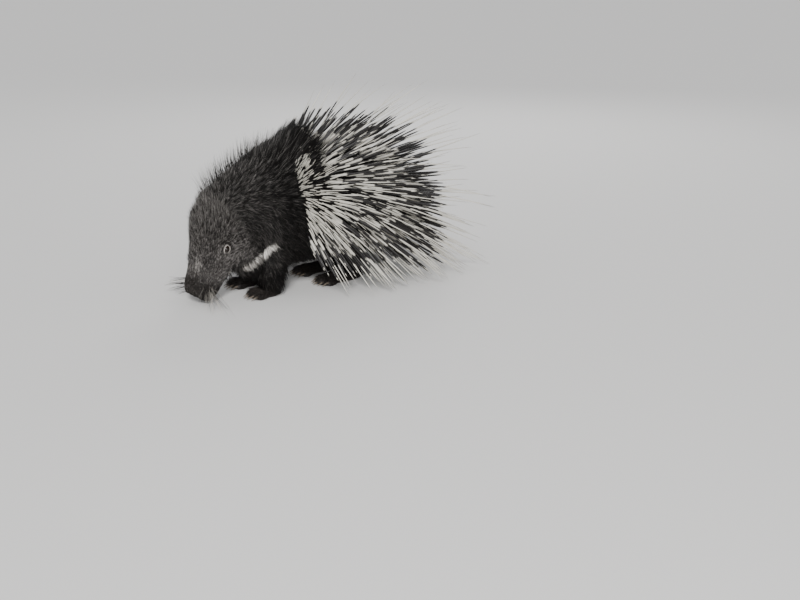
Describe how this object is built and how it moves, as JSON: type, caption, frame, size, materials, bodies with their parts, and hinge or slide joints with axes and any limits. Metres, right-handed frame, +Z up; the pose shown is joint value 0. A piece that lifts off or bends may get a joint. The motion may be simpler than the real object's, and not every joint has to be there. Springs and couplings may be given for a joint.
{
  "type": "porcupine",
  "caption": "Life-size still model of an Old World porcupine standing with its head lowered to the floor and its banded quills raised over the back and rump.",
  "frame": {"origin": "on the floor under the middle of the whole animal's box", "axes": "+Z up, -X towards the head, +X towards the tail, -Y towards the animal's left side"},
  "size_m": [0.6085, 0.4236, 0.3745],
  "materials": {
    "coat": "coarse black-brown bristles, fine pale speckle on the face",
    "quill": "smooth horn-like quills banded ivory and black-brown, slight sheen",
    "skin": "dark bare skin of soles, ears, nose and lids",
    "claw": "worn horn, paler at the tips",
    "eye": "wet dark brown eye"
  },
  "bodies": {
    "root": {"head": "coat", "neck": "coat", "torso": "quill", "tail": "quill", "ear_left": "skin", "ear_right": "skin", "eye_left": "eye", "eye_right": "eye", "foreleg_left": "coat", "forefoot_left": "skin", "foreleg_right": "coat", "forefoot_right": "skin", "hindleg_left": "coat", "hindfoot_left": "skin", "hindleg_right": "coat", "hindfoot_right": "skin", "claw_fore_left_1": "claw", "claw_fore_left_2": "claw", "claw_fore_left_3": "claw", "claw_fore_left_4": "claw", "claw_fore_right_1": "claw", "claw_fore_right_2": "claw", "claw_fore_right_3": "claw", "claw_fore_right_4": "claw", "claw_hind_left_1": "claw", "claw_hind_left_2": "claw", "claw_hind_left_3": "claw", "claw_hind_left_4": "claw", "claw_hind_left_5": "claw", "claw_hind_right_1": "claw", "claw_hind_right_2": "claw", "claw_hind_right_3": "claw", "claw_hind_right_4": "claw", "claw_hind_right_5": "claw"}
  },
  "joints": []
}
